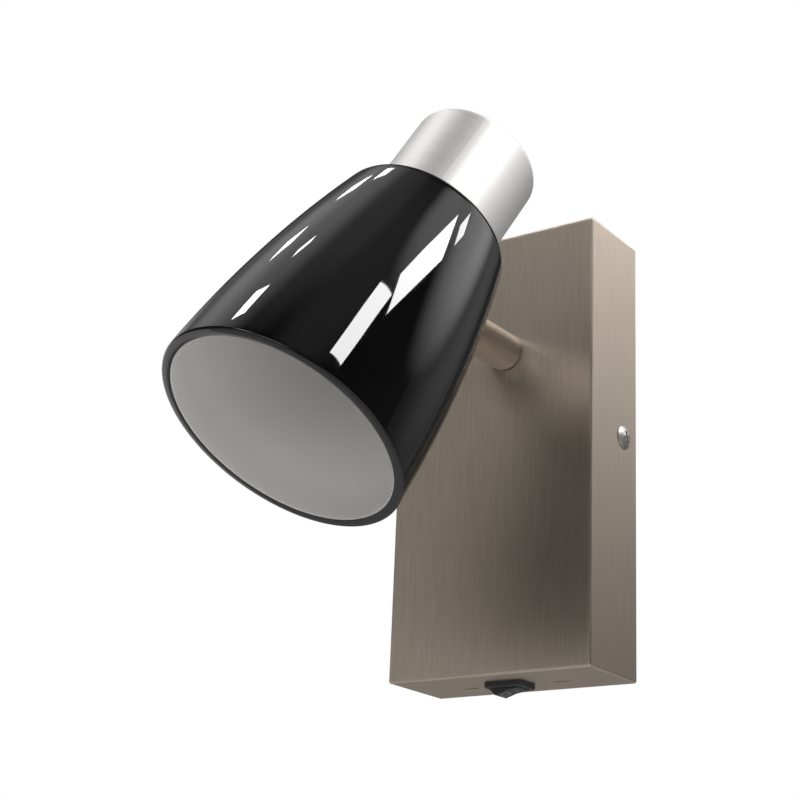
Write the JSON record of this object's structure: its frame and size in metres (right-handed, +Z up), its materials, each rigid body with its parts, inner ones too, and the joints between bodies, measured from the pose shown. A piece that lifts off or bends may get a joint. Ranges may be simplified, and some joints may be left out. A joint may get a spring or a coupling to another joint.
{
  "type": "wall reading lamp",
  "caption": "Bedside wall reading lamp: satin nickel wall box with a rocker switch, bent swivel arm, brushed cup and a black bell-shaped glass shade that turns.",
  "frame": {"origin": "middle of the wall box on the wall plane", "axes": "+X to the right seen from the room, +Y into the wall, +Z up"},
  "size_m": [0.1103, 0.2121, 0.1644],
  "materials": {
    "satin_nickel": "satin nickel plate, brushed lengthwise",
    "brushed_aluminium": "brushed round the cup",
    "black_glass": "cased opal glass: gloss black outside, white inside",
    "black_plastic": "satin",
    "rocker_plastic": "satin",
    "white_plastic": "matt",
    "zinc_steel": "bright zinc plate",
    "plated_screw": "satin nickel plate",
    "spring_steel": "plain",
    "brass": "plain",
    "brown_lead": "insulated wire",
    "blue_lead": "insulated wire",
    "clear_lead": "insulated wire"
  },
  "bodies": {
    "wall_box": {"wall_cover": "satin_nickel", "wall_bracket": "zinc_steel", "cover_screws": "plated_screw", "cable_bush": "white_plastic", "terminal_block": "white_plastic", "terminal_clamps": "brass", "terminal_screws": "zinc_steel", "terminal_fixing_screw": "zinc_steel", "earth_screw": "brass", "earth_washer": "zinc_steel", "switch_housing": "black_plastic", "switch_terminals": "brass", "switch_live_lead": "brown_lead", "switched_lead": "brown_lead", "neutral_lead": "blue_lead", "swivel_stop_pin": "zinc_steel"},
    "rocker": {"switch_rocker": "rocker_plastic"},
    "arm": {"arm_tube": "satin_nickel", "arm_foot_washer": "black_plastic", "foot_nipple": "zinc_steel", "foot_stop_washer": "zinc_steel", "foot_wave_washer": "spring_steel", "foot_lock_nut": "zinc_steel", "cup_nipple": "zinc_steel", "cup_stop_washer": "zinc_steel", "cup_wave_washer": "spring_steel", "cup_lock_nut": "zinc_steel", "arm_leads": "clear_lead"},
    "head": {"cup_saddle": "satin_nickel", "lamp_cup": "brushed_aluminium", "holder_bracket": "zinc_steel", "holder_screws": "zinc_steel", "lampholder": "black_plastic", "lampholder_shell": "brass", "lampholder_contact": "brass", "shade_ring": "black_plastic", "glass_shade": "black_glass", "head_leads": "clear_lead"}
  },
  "joints": [
    {"name": "arm_swivel", "type": "hinge", "parent": "wall_box", "child": "arm", "pos_m": [0.005, -0.032, 0.035], "axis": [0, 1, 0], "range_deg": [-233, 95]},
    {"name": "head_turn", "type": "hinge", "parent": "arm", "child": "head", "pos_m": [0.0454, -0.12577, 0.05051], "axis": [0.6601, -0.7071, 0.2534], "range_deg": [-156, 63]},
    {"name": "switch_rock", "type": "hinge", "parent": "wall_box", "child": "rocker", "pos_m": [0, -0.0164, -0.0795], "axis": [0, 1, 0], "range_deg": [0, 26]}
  ]
}
